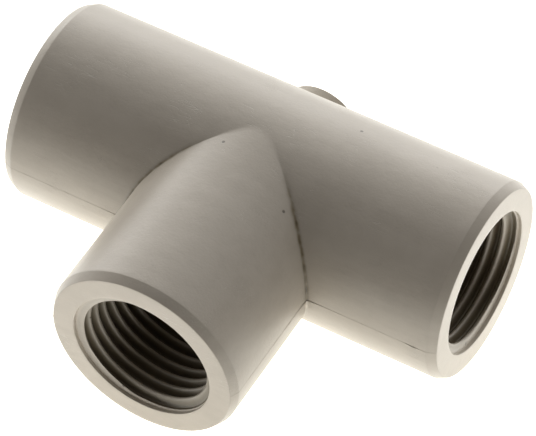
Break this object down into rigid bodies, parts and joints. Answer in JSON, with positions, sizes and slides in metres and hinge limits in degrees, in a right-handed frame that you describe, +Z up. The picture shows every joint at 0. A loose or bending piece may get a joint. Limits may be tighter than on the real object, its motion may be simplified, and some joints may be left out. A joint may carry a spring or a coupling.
{
  "type": "pipe tee fitting",
  "caption": "Equal moulded plastic pipe tee with internally threaded sockets on both ends of the run and on the branch, chamfered mouths and a round gate pad on the back.",
  "frame": {"origin": "where the run's axis and the branch's axis cross", "axes": "+X along the run towards its right mouth, -Y along the branch towards its mouth, +Z up, normal to the parting plane"},
  "size_m": [0.068, 0.0495, 0.029],
  "materials": {
    "body_plastic": "pebble grey moulded plastic, satin, with faint flow marks",
    "gate_plastic": "the same plastic, rougher where it was cut from the runner"
  },
  "bodies": {
    "root": {"centre_junction": "body_plastic", "run_socket_right": "body_plastic", "run_socket_left": "body_plastic", "branch_socket": "body_plastic", "gate_boss": "gate_plastic"}
  },
  "joints": []
}
